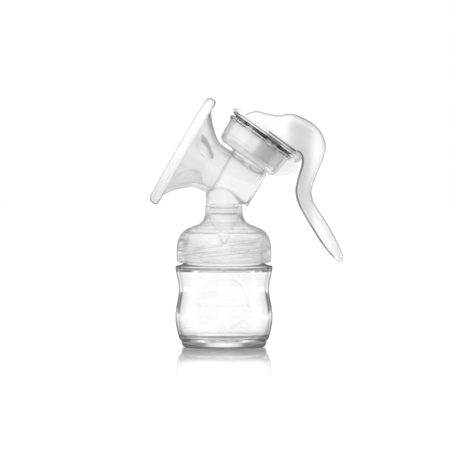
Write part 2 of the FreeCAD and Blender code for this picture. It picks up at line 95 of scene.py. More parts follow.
CUP_DEPTH, SADDLE_X, SADDLE_LENGTH, SADDLE_WIDTH = 16.4, 2.45, 13.8, 8.2
CUP_FLOOR, AIR_HOLE_R = -14.7, 4.0
PIN_R, EAR_Y, EAR_T, EAR_R, WEB_T, WEB_END = 1.8, 8.8, 2.2, 3.6, 1.2, 33.0
# Each pad: centre x, radius, start and end of its arc, rise above the web.
EAR_PADS = ((28.6, 8.2, 212, 308, 0.12), (28.0, 5.7, 225, 315, 0.25))
HOOK_R, HOOK_BORE, HOOK_LOW_Y, HOOK_HIGH_Y = 4.0, 1.9, 5.0, 8.2
BRIM_R, BRIM_LOW, BRIM_TOP = 26.5, 5.5, 7.7
SLOT_HALF, SLOT_NEAR, KEYHOLE_R, KEYHOLE_X = 2.15, 0.5, 4.1, -11.6
LEVER_WALL, HOLLOW_OPEN_BY = 1.9, 4.0


# ---------------------------------------------------------------- curves and meshes
def smooth_run(points, step):
    """Points about step apart on a smooth curve through the given ones (straight when there are two)."""
    at = np.array(points, float)
    chord = np.concatenate([[0], np.cumsum(np.linalg.norm(np.diff(at, axis=0), axis=1))])
    count = max(1, int(math.ceil(chord[-1] / step)))
    t = np.linspace(0, chord[-1], count + 1)
    if len(at) == 2:
        return np.column_stack([np.interp(t, chord, at[:, k]) for k in range(at.shape[1])])
    slope = np.gradient(at, chord, axis=0)
    spot = np.clip(np.searchsorted(chord, t, side="right") - 1, 0, len(at) - 2)
    width = (chord[spot + 1] - chord[spot])[:, None]
    f = ((t - chord[spot])[:, None]) / width
    h00, h10 = 2 * f**3 - 3 * f**2 + 1, f**3 - 2 * f**2 + f
    h01, h11 = 3 * f**2 - 2 * f**3, f**3 - f**2
    return h00 * at[spot] + h10 * width * slope[spot] + h01 * at[spot + 1] + h11 * width * slope[spot + 1]


def beside(points, depth, step):
    """The smooth curve through the points, moved depth to its left."""
    run = smooth_run(points, step)
    slope = np.gradient(run, axis=0)
    slope /= np.linalg.norm(slope, axis=1)[:, None]
    return run + depth * np.column_stack([-slope[:, 1], slope[:, 0]])


def outline(stretches):
    """The closed (r, z) outline through stretches of (step, points), with straight joins across gaps."""
    rows = []
    for step, points in stretches:
        for row in smooth_run(points, step):
            if not rows or np.linalg.norm(rows[-1] - row) > 1e-4:
                rows.append(row)
    if np.linalg.norm(rows[0] - rows[-1]) < 1e-4:
        rows.pop()
    return np.array(rows)


def mesh_object(name, verts, faces, place):
    mesh = bpy.data.meshes.new(name)
    mesh.from_pydata([tuple(v) for v in verts], [], faces)
    mesh.transform(place)
    shaper = bmesh.new()
    shaper.from_mesh(mesh)
    bmesh.ops.recalc_face_normals(shaper, faces=shaper.faces)
    shaper.to_mesh(mesh)
    shaper.free()
    obj = bpy.data.objects.new(name, mesh)
    bpy.context.scene.collection.objects.link(obj)
    return obj


def lathe(name, stretches, place, segments=240, relief=None):
    """A closed turned solid; relief(theta, r, z) gives how far each point moves outwards from the axis."""
    rows = outline(stretches)
    theta = np.linspace(0, 2 * math.pi, segments, endpoint=False)
    r, z = rows[:, 0][:, None], rows[:, 1][:, None]
    grown = r + (relief(theta[None, :], r, z) if relief else 0) + 0 * theta[None, :]
    verts, ring = [], []
    for i in range(len(rows)):
        if rows[i, 0] < 1e-6:
            ring.append([len(verts)] * segments)
            verts.append((0, 0, rows[i, 1]))
            continue
        ring.append(list(range(len(verts), len(verts) + segments)))
        verts.extend(zip(grown[i] * np.cos(theta), grown[i] * np.sin(theta), np.full(segments, rows[i, 1])))
    faces = []
    for i in range(len(rows)):
        low, high = ring[i], ring[(i + 1) % len(rows)]
        if rows[i, 0] < 1e-6 and rows[(i + 1) % len(rows), 0] < 1e-6:
            continue
        for j in range(segments):
            k = (j + 1) % segments
            corners = [low[j], low[k], high[k], high[j]]
            faces.append(list(dict.fromkeys(corners)))
    return mesh_object(name, verts, faces, place)


def loft(name, rings, place, closed=False):
    """A solid through rings of points, with its two ends filled, or joined end to end when closed."""
    rings = np.array(rings)
    count, around = rings.shape[:2]
    verts = rings.reshape(-1, 3)
    faces = []
    for i in range(count if closed else count - 1):
        low, high = i * around, (i + 1) % count * around
        for j in range(around):
            k = (j + 1) % around
            faces.append([low + j, low + k, high + k, high + j])
    if not closed:
        faces.append(list(range(around))[::-1])
        faces.append(list(range((count - 1) * around, count * around)))
    return mesh_object(name, verts, faces, place)


def combine(target, others, operation):
    """Joins solids to the target, or cuts them from it, and removes them."""
    for other in others:
        step = target.modifiers.new(operation, "BOOLEAN")
        step.operation = operation
        step.solver = "MANIFOLD"
        step.object = other
    bpy.context.view_layer.update()
    graph = bpy.context.evaluated_depsgraph_get()
    mesh = bpy.data.meshes.new_from_object(target.evaluated_get(graph), depsgraph=graph)
    target.modifiers.clear()
    target.data = mesh
    for other in others:
        bpy.data.objects.remove(other)
    return target


def round_circle(r, z, count, x=0.0):
    theta = np.linspace(0, 2 * math.pi, count, endpoint=False)
    return np.column_stack([x + r * np.cos(theta), r * np.sin(theta), np.full(count, z)])


def cylinder(name, r, low, high, place, count=160, x=0.0, steps=2):
    return loft(name, [round_circle(r, z, count, x) for z in np.linspace(low, high, steps)], place)


def smoothstep(x):
    x = np.clip(x, 0, 1)
    return x * x * (3 - 2 * x)


def soft_shade(obj, degrees=32):
    obj.data.shade_smooth()
    obj.data.set_sharp_from_angle(angle=math.radians(degrees))
    return obj


def paint(obj, material, place, inside):
    """Gives a second material to the faces whose middle passes the test inside(x, y, z) in a local frame."""
    obj.data.materials.append(material)
    middles = np.empty(len(obj.data.polygons) * 3, dtype=np.float32)
    obj.data.polygons.foreach_get("center", middles)
    to_local = np.array(place.inverted())
    local = middles.reshape(-1, 3) @ to_local[:3, :3].T + to_local[:3, 3]
    picked = inside(*local.T)
    obj.data.polygons.foreach_set("material_index", np.where(picked, 1, 0).astype(np.int32))
    return obj


def piece(obj, body, material, slot, *nodes):
    """Finishes a mesh as a piece of the pump."""
    obj.data.materials.clear()
    obj.data.materials.append(material)
    soft_shade(obj)
    if body:
        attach(obj, body)
    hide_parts(*nodes)
    return obj


# ---------------------------------------------------------------- materials
def noise_node(nodes, links, place, scale, detail):
    node = nodes.new("ShaderNodeTexNoise")
    node.inputs["Scale"].default_value = scale
    node.inputs["Detail"].default_value = detail
    links.new(place.outputs["Object"], node.inputs["Vector"])
    return node


def map_range(nodes, links, source, from_range, to_range):
    node = nodes.new("ShaderNodeMapRange")
    node.interpolation_type = "SMOOTHSTEP"
    node.inputs["From Min"].default_value, node.inputs["From Max"].default_value = from_range
    node.inputs["To Min"].default_value, node.inputs["To Max"].default_value = to_range
    links.new(source, node.inputs["Value"])
    return node.outputs["Result"]


def mixed_colour(nodes, links, factor, low, high):
    node = nodes.new("ShaderNodeMix")
    node.data_type = "RGBA"
    node.inputs["A"].default_value = (*low, 1)
    node.inputs["B"].default_value = (*high, 1)
    links.new(factor, node.inputs["Factor"])
    return node


def wave_along(nodes, links, place, to_world, period, dark_at):
    """Soft bands of painted shade along a local X axis, darkest at dark_at millimetres."""
    spot = nodes.new("ShaderNodeMapping")
    spot.vector_type = "TEXTURE"
    spot.inputs["Location"].default_value = to_world.translation
    spot.inputs["Rotation"].default_value = to_world.to_euler()
    links.new(place.outputs["Object"], spot.inputs["Vector"])
    wave = nodes.new("ShaderNodeTexWave")
    wave.wave_type, wave.bands_direction, wave.wave_profile = "BANDS", "X", "SIN"
    scale = 2 * math.pi / (20 * period * MM)
    wave.inputs["Scale"].default_value = scale
    wave.inputs["Distortion"].default_value = 0.8
    wave.inputs["Detail Scale"].default_value = 2.0
    wave.inputs["Phase Offset"].default_value = -20 * scale * dark_at * MM
    links.new(spot.outputs["Vector"], wave.inputs["Vector"])
    return wave


def node_material(name, base, tint, cloud, roughness, bump, transmission, ior, edge, lamps=0.0, bands=None):
    """A moulded material: a cloud between two colours, uneven gloss and fine surface texture.
    cloud is (scale, low, high) of the colour noise; edge is (start, end, share) of the painted dark line,
    painted shade where a wall is grazed; lamps is the share of a lamp's light that goes straight through each
    surface;
    bands is (low, high, frame, period, dark_at) of a soft wave of painted shade that takes the noise's place,
    with cloud None."""
    material = bpy.data.materials.new(name)
    material.use_nodes = True
    nodes, links = material.node_tree.nodes, material.node_tree.links
    shader = nodes["Principled BSDF"]
    shader.inputs["IOR"].default_value = ior
    shader.inputs["Transmission Weight"].default_value = transmission
    place = nodes.new("ShaderNodeTexCoord")
    if bands:
        pattern, spread = wave_along(nodes, links, place, *bands[2:]), bands[:2]
    else:
        pattern, spread = noise_node(nodes, links, place, cloud[0], 3), cloud[1:]
    share = map_range(nodes, links, pattern.outputs["Fac"], spread, (0, 1))
    links.new(mixed_colour(nodes, links, share, base, tint).outputs["Result"], shader.inputs["Base Color"])
    smear = noise_node(nodes, links, place, 160.0, 4)
    links.new(map_range(nodes, links, smear.outputs["Fac"], (0, 1), roughness), shader.inputs["Roughness"])
    grain = noise_node(nodes, links, place, bump[0], 2)
    raised = nodes.new("ShaderNodeBump")
    raised.inputs["Strength"].default_value = bump[1]
    raised.inputs["Distance"].default_value = bump[2]
    links.new(grain.outputs["Fac"], raised.inputs["Height"])
    links.new(raised.outputs["Normal"], shader.inputs["Normal"])
    lined = dark_line(nodes, links, shader.outputs["BSDF"], edge)
    links.new(lined, nodes["Material Output"].inputs["Surface"])
    if lamps:
        let_lamps_through(nodes, links, lined, lamps)
    return material


def dark_line(nodes, links, surface, edge):
    """Mixes in a dark diffuse shader where a wall is grazed: painted shade, a painted dark outline standing in
    for the dark edge that refraction gives clear plastic.
    """
    facing = nodes.new("ShaderNodeLayerWeight")
    facing.inputs["Blend"].default_value = 0.5
    dark = nodes.new("ShaderNodeBsdfDiffuse")
    dark.inputs["Color"].default_value = (0.10, 0.10, 0.102, 1)
    mix = nodes.new("ShaderNodeMixShader")
    links.new(map_range(nodes, links, facing.outputs["Facing"], edge[:2], (0, edge[2])), mix.inputs["Fac"])
    links.new(surface, mix.inputs[1])
    links.new(dark.outputs["BSDF"], mix.inputs[2])
    return mix.outputs["Shader"]


def let_lamps_through(nodes, links, surface, share):
    """Lets a share of each lamp's light pass straight through, so that the shadow stays light."""
    path = nodes.new("ShaderNodeLightPath")
    clear = nodes.new("ShaderNodeBsdfTransparent")
    clear.inputs["Color"].default_value = (share, share, share, 1)
    mix = nodes.new("ShaderNodeMixShader")
    links.new(path.outputs["Is Shadow Ray"], mix.inputs["Fac"])
    links.new(surface, mix.inputs[1])
    links.new(clear.outputs["BSDF"], mix.inputs[2])
    links.new(mix.outputs["Shader"], nodes["Material Output"].inputs["Surface"])


SOFT_CLOUD = (55.0, 0.0, 1.0)
CLEAR = node_material("clear_polypropylene", (0.95, 0.945, 0.947), (0.99, 0.985, 0.987), SOFT_CLOUD,
                      (0.02, 0.05), (900.0, 0.08, 0.0002), 0.82, 1.49, (0.70, 0.90, 0.42), 0.92)
BOTTLE_CLEAR = node_material("bottle_polypropylene", (0.96, 0.957, 0.958), (0.98, 0.977, 0.978), SOFT_CLOUD,
                             (0.01, 0.05), (120.0, 0.04, 0.0003), 0.97, 1.49, (0.66, 0.86, 0.72), 0.94)
# painted shade: the lever's colour runs in soft bands from 0.74 to 0.99 grey along the bottle's x axis,
# darkest at 53 mm, for the shade on the hood's side
LEVER = node_material("lever_polypropylene", (0.74, 0.735, 0.737), (0.99, 0.985, 0.987), None,
                      (0.06, 0.12), (700.0, 0.06, 0.0002), 0.45, 1.49, (0.66, 0.90, 0.50), 0.80,
                      (0.0, 0.34, BOTTLE, 64.0, 53.0))
CUSHION = node_material("clear_silicone", (0.97, 0.965, 0.967), (1.0, 0.995, 0.997), SOFT_CLOUD,
                        (0.06, 0.12), (500.0, 0.12, 0.0003), 0.48, 1.41, (0.70, 0.90, 0.62), 0.85)
# painted shade and painted highlight: the diaphragm's colour runs in soft bands from 0.26 to 0.90 grey along
# the cup's x axis, darkest at 9.5 mm and lightest 18 mm either side of it
BOWL = node_material("bowl_silicone", (0.26, 0.255, 0.257), (0.90, 0.895, 0.897), None,
                     (0.10, 0.22), (500.0, 0.12, 0.0003), 0.30, 1.41, (0.60, 0.95, 0.40), 0.7,
                     (0.0, 0.50, CUP, 36.0, 9.5))
VALVE = node_material("milky_silicone", (0.93, 0.925, 0.927), (0.97, 0.965, 0.967), SOFT_CLOUD,
                      (0.30, 0.42), (500.0, 0.15, 0.0003), 0.2, 1.41, (0.68, 0.84, 0.90), 0.5)
STEM = node_material("white_polypropylene", (0.90, 0.90, 0.91), (0.95, 0.95, 0.955), SOFT_CLOUD,
                     (0.20, 0.32), (700.0, 0.12, 0.0002), 0.0, 1.49, (0.70, 0.95, 0.30))
# painted shade: near-black dashes, broken up by noise, for the shadow in the grooves at the cup's rim
GAP = node_material("shaded_gap", (0.02, 0.02, 0.021), (0.50, 0.495, 0.497), (190.0, 0.44, 0.60),
                    (0.10, 0.20), (700.0, 0.06, 0.0002), 0.10, 1.49, (0.70, 0.95, 0.30), 0.5)
# painted shade: dark grey for the shade in the valve's steps and the cushion's petal creases
CREASE = node_material("shaded_crease", (0.12, 0.118, 0.119), (0.30, 0.295, 0.297), SOFT_CLOUD,
                       (0.12, 0.24), (500.0, 0.12, 0.0003), 0.30, 1.41, (0.76, 0.92, 0.30), 0.6)
# painted shade: near-black for the dark line along the lever's inner edge and the brim's top edge
LIP_EDGE_SHADE = node_material("lever_edge_painted_shade", (0.10, 0.10, 0.102), (0.30, 0.295, 0.297), (60.0, 0.35, 0.65),
                         (0.06, 0.14), (700.0, 0.06, 0.0002), 0.30, 1.49, (0.70, 0.95, 0.30), 0.6)


# ---------------------------------------------------------------- bottle
def thread_height(theta, z, low):
    """1 on a thread's crest, 0 beside it, with tapered ends."""
    height = np.zeros(np.broadcast(theta, z).shape)
    for start in range(THREAD_STARTS):
        begin = 2 * math.pi * start / THREAD_STARTS
        for lap in (0, 1):
            along = np.degrees((theta - begin) % (2 * math.pi)) + 360 * lap
            middle = low + THREAD_LEAD * along / 360
            flank = (THREAD_ROOT / 2 - np.abs(z - middle)) / ((THREAD_ROOT - THREAD_CREST) / 2)
            ends = np.clip(np.minimum(along + 6, THREAD_SPAN + 6 - along) / 12, 0, 1)
            height = np.maximum(height, smoothstep(flank) * ends)
    return height


def bottle_relief(theta, r, z):
    on_neck = (r > NECK_R - 0.05) & (z > 59.0) & (z < BOTTLE_TOP - 1)
    thread = thread_height(theta, z, THREAD_LOW) * THREAD_DEPTH * on_neck
    across, up = r * np.cos(theta), z - MEDALLION_Z
    distance = np.hypot(across, up)
    plate = 0.36 * smoothstep((MEDALLION_R - distance) / 1.3)
    plate -= 0.16 * smoothstep((MEDALLION_IN - distance) / 1.3)
    front = (np.sin(theta) < 0) & (r > 30.8) & (z > 8) & (z < 54)
    return thread + front * plate


def make_bottle():
    wall = [(30.9, 5.6), (32.6, 11.5), (33.7, 20.4), (33.0, 28.4), (31.8, 34.8), (31.3, 40.4), (31.9, 45.6),
            (33.0, 50.6), (33.7, 54.6)]
    inner = [tuple(row) for row in beside(wall, 2.0, 1.2)[::-1] if 11.0 < row[1] < 53.5]
    stretches = [
        (1.5, [(0, 0.9), (21.0, 0.9)]),
        (0.5, [(21.0, 0.9), (21.8, 0.2), (22.6, 0)]),
        (1.0, [(22.6, 0), (27.4, 0)]),
        (0.4, [(27.4, 0), (28.6, 0.7), (29.2, 2.4), (29.4, 4.2)]),
        (0.5, [(29.4, 4.2), (29.9, 4.6), (30.9, 5.6)]),
        (0.45, wall),
        (0.3, [(33.7, 54.6), (33.6, 55.6), (32.9, 56.2)]),
        (0.6, [(32.9, 56.2), (28.6, 57.6), (NECK_R, 58.8)]),
        (0.32, [(NECK_R, 58.8), (NECK_R, BOTTLE_TOP - 0.5)]),
        (0.3, [(NECK_R, BOTTLE_TOP - 0.5), (NECK_R - 0.5, BOTTLE_TOP)]),
        (1.0, [(NECK_R - 0.5, BOTTLE_TOP), (MOUTH_R + 0.5, BOTTLE_TOP)]),
        (0.3, [(MOUTH_R + 0.5, BOTTLE_TOP), (MOUTH_R, BOTTLE_TOP - 0.5)]),
        (2.0, [(MOUTH_R, BOTTLE_TOP - 0.5), (MOUTH_R, 58.4)]),
        (0.8, [(MOUTH_R, 58.4), (26.4, 56.4), (29.6, 55.0), inner[0]]),
        (1.2, inner),
        (0.8, [inner[-1], (29.6, 8.6), (27.8, 6.2), (24.6, 5.0), (20.0, 4.8)]),
        (2.5, [(20.0, 4.8), (0, 4.8)]),
    ]
    bottle = lathe("bottle_shell", stretches, BOTTLE, 360, bottle_relief)
    return piece(bottle, "bottle", BOTTLE_CLEAR, "bottle_plastic", "bottle")


# ---------------------------------------------------------------- valve
def make_valve():
    """A round collar that narrows to two flat lips."""
    count = 96
    rings = []
    for r, z in [(9.5, 96.4), (9.95, 95.9), (9.95, 92.7), (9.5, 92.3), (9.5, 91.8), (9.75, 91.5),
                 (9.75, 84.7), (9.3, 84.2), (9.05, 84.2)]:
        rings.append(round_circle(r, z, count))
    down = np.linspace(0, 1, 14)
    for start_r, half_x, half_y, path in ((VALVE_R, 1.25, 6.6, down), (VALVE_BORE, 0.25, 5.6, down[::-1])):
        for f in path:
            blend = smoothstep(f) * 0.35 + f * 0.65
            ring = round_circle(1, VALVE_SHOULDER + (VALVE_TIP - VALVE_SHOULDER) * f, count)
            ring[:, 0] *= start_r + (half_x - start_r) * blend
            ring[:, 1] *= start_r + (half_y - start_r) * blend
            rings.append(ring)
    for z in (88.0, 92.0, 96.3):
        rings.append(round_circle(VALVE_BORE, z, count))
    valve = loft("duckbill", rings, BOTTLE, closed=True)
    piece(valve, "valve", VALVE, "white_silicone", "duckbill_valve")

    # painted shade: the collar's outer faces at each step get the dark crease material
    def at_steps(x, y, z):
        near_step = np.any([np.abs(z - middle) < half for middle, half in VALVE_STEPS], axis=0)
        return near_step & (np.hypot(x, y) > VALVE_R)

    return paint(valve, CREASE, BOTTLE, at_steps)


# ---------------------------------------------------------------- clear body
def cap_relief(theta, r, z):
    inside = (r > CAP_BORE - 1.2) & (r < CAP_BORE + 0.05) & (z > 59.5) & (z < 76.5)
    half_pitch = THREAD_LEAD / THREAD_STARTS / 2
    return -thread_height(theta, z, THREAD_LOW + half_pitch) * THREAD_DEPTH * inside


def cap_and_neck():
    stretches = [
        (1.0, [(CAP_BORE, 58.6), (31.4, 58.6)]),
        (0.3, [(31.4, 58.6), (32.3, 59.0), (32.8, 60.2)]),
        (0.8, [(32.8, 60.2), (32.8, 67.5), (31.8, 73.8), (29.3, 78.8), (25.8, 81.7), (21.4, 83.6),
               (17.0, 85.5), (15.1, 87.0), (14.3, 88.3), (13.3, 91.0), (12.8, 95.0), (BODY_NECK_R, 100.0)]),
        (3.0, [(BODY_NECK_R, 100.0), (BODY_NECK_R, THROAT_Z)]),
        (2.0, [(BODY_NECK_R, THROAT_Z), (BODY_BORE_R, THROAT_Z)]),
        (2.0, [(BODY_BORE_R, THROAT_Z), (BODY_BORE_R, PARTITION_TOP)]),
        (1.5, [(BODY_BORE_R, PARTITION_TOP), (SPIGOT_BORE, PARTITION_TOP)]),
        (2.0, [(SPIGOT_BORE, PARTITION_TOP), (SPIGOT_BORE, SPIGOT_END)]),
        (0.5, [(SPIGOT_BORE, SPIGOT_END), (SPIGOT_R - 0.4, SPIGOT_END), (SPIGOT_R, SPIGOT_END + 0.6)]),
        (2.0, [(SPIGOT_R, SPIGOT_END + 0.6), (SPIGOT_R, PARTITION_Z)]),
        (1.5, [(SPIGOT_R, PARTITION_Z), (BODY_BORE_R, PARTITION_Z)]),
        (1.0, [(BODY_BORE_R, PARTITION_Z), (BODY_BORE_R, 93.0), (11.2, 90.4), (12.4, 88.3), (14.8, 84.9),
               (20.2, 82.0), (23.6, 80.4)]),
        (0.6, [(23.6, 80.4), (24.6, 78.6), (27.8, 78.6)]),
        (0.32, [(27.8, 78.6), (29.3, 75.6), (30.2, 71.8), (CAP_BORE, 68.5)]),
        (0.32, [(CAP_BORE, 68.5), (CAP_BORE, 58.6)]),
    ]
    return lathe("clear_body", stretches, BOTTLE, 300, cap_relief)


def throat_outside():
    """Funnel, tapered throat tube and its flat end as one filled solid."""
    count = 200
    profile = smooth_run([(THROAT_R, THROAT_START), (16.8, 6.0), (17.1, 10.1), (18.5, 15.0), (22.1, 19.9),
                          (26.0, 23.9), (30.0, 27.2), (34.0, 29.7), (38.0, 31.1), (40.0, 31.5)], 0.9)
    rings = [round_circle(END_DISC_R - 0.4, TUBE_END - 1.8, count, TUBE_SHIFT),
             round_circle(END_DISC_R, TUBE_END - 1.4, count, TUBE_SHIFT),
             round_circle(END_DISC_R, TUBE_END, count, TUBE_SHIFT)]
    for f in np.linspace(0, 1, 16):
        r = TUBE_END_R + (THROAT_R - TUBE_END_R) * f
        rings.append(round_circle(r, TUBE_END + (THROAT_START - TUBE_END) * f, count, TUBE_SHIFT * (1 - f)))
    rings[3][:, 2] += 0.05  # keeps the tube's first ring off the disc's edge
    rings += [round_circle(r, z, count) for r, z in profile[1:]]
    rings += [round_circle(40.3, 32.4, count), round_circle(40.0, 33.1, count)]
    return loft("throat_outside", rings, FUNNEL)


def throat_cavity():
    count = 200
    profile = smooth_run([(THROAT_R - THROAT_WALL, THROAT_START), (15.0, 6.0), (15.4, 10.6), (16.9, 15.9),
                          (20.6, 21.0), (24.7, 25.2), (28.9, 28.7), (33.2, 31.4), (37.5, 32.8), (39.2, 33.05),
                          (39.4, 34.5)], 0.9)
    rings = []
    for f in np.linspace(0, 1, 10):
        r = TUBE_END_R - THROAT_WALL + (THROAT_R - TUBE_END_R) * f
        rings.append(round_circle(r, TUBE_END + (THROAT_START - TUBE_END) * f, count, TUBE_SHIFT * (1 - f)))
    rings += [round_circle(r, z, count) for r, z in profile[1:]]
    return loft("throat_cavity", rings, FUNNEL)


def cup_shell():
    stretches = [
        (2.0, [(AIR_HOLE_R, -CUP_DEPTH), (19.0, -CUP_DEPTH)]),
        (0.4, [(19.0, -CUP_DEPTH), (20.7, -16.0), (21.9, -15.1), (22.5, -14.3)]),
        (0.3, [(22.5, -14.3), (22.8, -14.1), (22.9, -13.7)]),
        (1.0, [(22.9, -13.7), (22.95, -11.2)]),
        (0.3, [(22.95, -11.2), (23.3, -10.8), (23.35, -10.4)]),
        (1.0, [(23.35, -10.4), (24.1, -1.3)]),
        (0.3, [(24.1, -1.3), (24.9, -0.3), (25.6, 0.6)]),
        (0.4, [(25.6, 0.6), (25.6, 1.8), (25.3, 2.1)]),
        (0.4, [(25.3, 2.1), (22.6, 2.9)]),
        (1.5, [(22.6, 2.9), (22.45, 2.4), (21.4, -11.4)]),
        (0.6, [(21.4, -11.4), (20.8, -13.4), (18.8, CUP_FLOOR)]),
        (2.0, [(18.8, CUP_FLOOR), (AIR_HOLE_R, CUP_FLOOR)]),
        (1.0, [(AIR_HOLE_R, CUP_FLOOR), (AIR_HOLE_R, -CUP_DEPTH)]),
    ]
    return lathe("cup_shell", stretches, CUP, 240)


def saddle_column(name, inset, low, high):
    """A column with a long round-ended section under the cup, its skin moved inwards by inset."""
    r, reach = SADDLE_WIDTH - inset, SADDLE_LENGTH - SADDLE_WIDTH
    ring = round_circle(r, 0, 120)
    ring[:, 0] += SADDLE_X + reach * np.sign(np.round(ring[:, 0], 6))
    return loft(name, [ring + (0, 0, z) for z in (low, high)], CUP)


def kept_beyond_tube_end():
    """The half space on the funnel's side of the throat's end, as a big block."""
    square = [(-90, -90), (90, -90), (90, 90), (-90, 90)]
    return loft("kept_side", [[(x, y, z) for x, y in square] for z in (TUBE_END + 0.05, 90)], FUNNEL)


def plate_along_y(name, points, low_y, high_y):
    """A flat plate across the pump, from an (x, w) outline in the cup's frame."""
    return loft(name, [[(x, y, w) for x, w in points] for y in (low_y, high_y)], CUP)


def arc(centre, r, start, end, count):
    angles = np.radians(np.linspace(start, end, count))
    return [(centre[0] + r * math.cos(a), centre[1] + r * math.sin(a)) for a in angles]


def hinge_ear(side):
    """Web under the rim with a round outer edge, the boss around the pin, and two stepped pads below it."""
    near, web_face, far = EAR_Y * side, (EAR_Y + WEB_T) * side, (EAR_Y + EAR_T) * side
    web = [(13.0, -1.0), (24.5, 3.4), (25.7, 4.0)]
    web += arc((PIVOT_X, PIVOT_W), EAR_R, 150, -55, 28)
    web += [(30.6, 0.3), (32.6, 0.1)]
    web += [point for point in arc((14.5, 3.1), 19.8, -10, -85, 40) if point[0] < WEB_END]
    web += [(13.0, -16.3)]
    ear = plate_along_y("hinge_ear", web, *sorted((near, web_face)))
    boss = plate_along_y("boss", arc((PIVOT_X, PIVOT_W), EAR_R, 0, 350, 36), *sorted((near, far)))
    combine(ear, [boss], "UNION")
    for centre, r, start, end, rise in EAR_PADS:
        pad = arc((centre, PIVOT_W), r, start, end, 24)
        combine(ear, [plate_along_y("pad", pad, *sorted((near, web_face + rise * side)))], "UNION")
    return ear


def make_pump_body():
    body = cap_and_neck()
    saddle_hollow = saddle_column("saddle_hollow", THROAT_WALL, -42, -CUP_DEPTH + 0.02)
    combine(saddle_hollow, [throat_outside()], "DIFFERENCE")
    saddle = saddle_column("saddle", 0, -34, -CUP_DEPTH + 0.3)
    combine(saddle, [kept_beyond_tube_end()], "INTERSECT")
    ears = []
    for side in (-1, 1):
        cup_space = [cylinder("in_cup", 22.4, CUP_FLOOR, 9, CUP), cylinder("beside_cup", 25.55, 0.2, 9, CUP)]
        ears.append(combine(hinge_ear(side), cup_space, "DIFFERENCE"))
    combine(body, [throat_outside(), saddle, cup_shell()] + ears, "UNION")
    neck_hollow = cylinder("neck_hollow", BODY_BORE_R, PARTITION_TOP, THROAT_Z, BOTTLE)
    air_way = cylinder("air_way", AIR_HOLE_R, -30, CUP_FLOOR + 0.2, CUP, x=SADDLE_X)
    combine(body, [throat_cavity(), neck_hollow, saddle_hollow, air_way], "DIFFERENCE")
    nodes = ["screw_cap", "neck_tube", "throat_tube", "throat_end_disc", "funnel", "saddle", "diaphragm_cup",
             "hinge_ear_left", "hinge_ear_right"]
    piece(body, "pump_body", CLEAR, "clear_plastic", *nodes)

    # painted shade: the groove under the diaphragm's lip and the step under the flange get the near-black
    # dashes
    def in_groove(x, y, w):
        r = np.hypot(x, y)
        under_bowl_lip = (r > 22.4) & (r < 26) & (w > 1.7) & (w < 3.1)
        under_flange = (r > 24.8) & (r < 26) & (w > -0.1) & (w < 0.65)
        return under_bowl_lip | under_flange

    return paint(body, GAP, CUP, in_groove)


def make_hinge_pin():
    place = Matrix.Translation(PIVOT) @ Matrix.Rotation(math.radians(-90), 4, "X") @ Matrix.Scale(MM, 4)
    end = EAR_Y - 0.02
    stretches = [(0.4, [(0, -end), (1.4, -end)]), (0.2, [(1.4, -end), (PIN_R, 0.4 - end)]),
                 (2.0, [(PIN_R, 0.4 - end), (PIN_R, end - 0.4)]), (0.2, [(PIN_R, end - 0.4), (1.4, end)]),
                 (0.4, [(1.4, end), (0, end)])]
    pin = lathe("pivot_pin", stretches, place, 48)
    return piece(pin, "pump_body", CLEAR, "clear_plastic", "hinge_pin")


# ---------------------------------------------------------------- silicone
PETALS, FIRST_PETAL = 5, -63
PETAL_MIDDLE, PETAL_LENGTH, PETAL_HALF_ANGLE, PETAL_DEPTH = 21.4, 9.4, 18.0, 4.4


def petal_height(theta, z):
    """Five oval pads, the first at the top front, steep towards the throat and gentle towards the rim."""
    height = np.zeros(np.broadcast(theta, z).shape)
    for i in range(PETALS):
        middle = math.radians(FIRST_PETAL + 360 / PETALS * i)
        turn = (theta - middle + math.pi) % (2 * math.pi) - math.pi
        around = turn / math.radians(PETAL_HALF_ANGLE)
        along = (z - PETAL_MIDDLE) / PETAL_LENGTH
        soft = 0.62 - 0.50 * smoothstep(0.5 + 0.5 * (around - along))
        height = np.maximum(height, smoothstep((1 - np.hypot(around, along)) / soft))
    return height


def cushion_relief(theta, r, z):
    on_cone = smoothstep((z - 11) / 2.5) * smoothstep((34.5 - z) / 3) * (r < 36)
    return -PETAL_DEPTH * petal_height(theta, z) * on_cone


def make_cushion():
    stretches = [
        (0.3, [(14.0, 1.3), (14.4, 1.7), (14.4, 2.3), (14.0, 2.7), (13.3, 2.8)]),
        (0.7, [(13.3, 2.8), (13.4, 9.0), (15.0, 14.6), (19.4, 20.7), (24.2, 25.9), (28.6, 29.6), (33.2, 32.4),
               (37.4, 33.9), (40.1, 34.1)]),
        (0.5, [(40.1, 34.1), (40.4, 32.4), (40.2, 31.2)]),
        (0.4, [(40.2, 31.2), (38.9, 30.7), (39.8, 29.7), (41.3, 30.6), (41.7, 32.6), (41.3, 34.9),
               (39.8, 36.3), (37.4, 36.7), (35.0, 36.0)]),
        (0.6, [(35.0, 36.0), (31.6, 33.9), (27.6, 31.0), (23.2, 27.3), (18.4, 22.2), (14.0, 15.9),
               (11.8, 10.0), (11.5, 1.3)]),
        (0.5, [(11.5, 1.3), (14.0, 1.3)]),
    ]
    cushion = lathe("silicone_cushion", stretches, FUNNEL, 300, cushion_relief)
    piece(cushion, "pump_body", CUSHION, "clear_silicone", "massage_cushion")

    # painted shade: the steep side of each petal towards the throat, and a ring at the sleeve's end, get the
    # dark crease material
    def at_crease(x, y, u):
        theta, r = np.arctan2(y, x), np.hypot(x, y)
        steep = np.abs(petal_height(theta, u) - 0.5) < 0.42
        towards_throat = petal_height(theta + 0.05, u - 0.6) < petal_height(theta - 0.05, u + 0.6) - 0.25
        on_petals = steep & towards_throat & (u > 9) & (u < 33) & (r < 36)
        sleeve_end = (np.abs(u - 2.5) < 0.35) & (r > 13.2)
        return on_petals | sleeve_end

    return paint(cushion, CREASE, FUNNEL, at_crease)


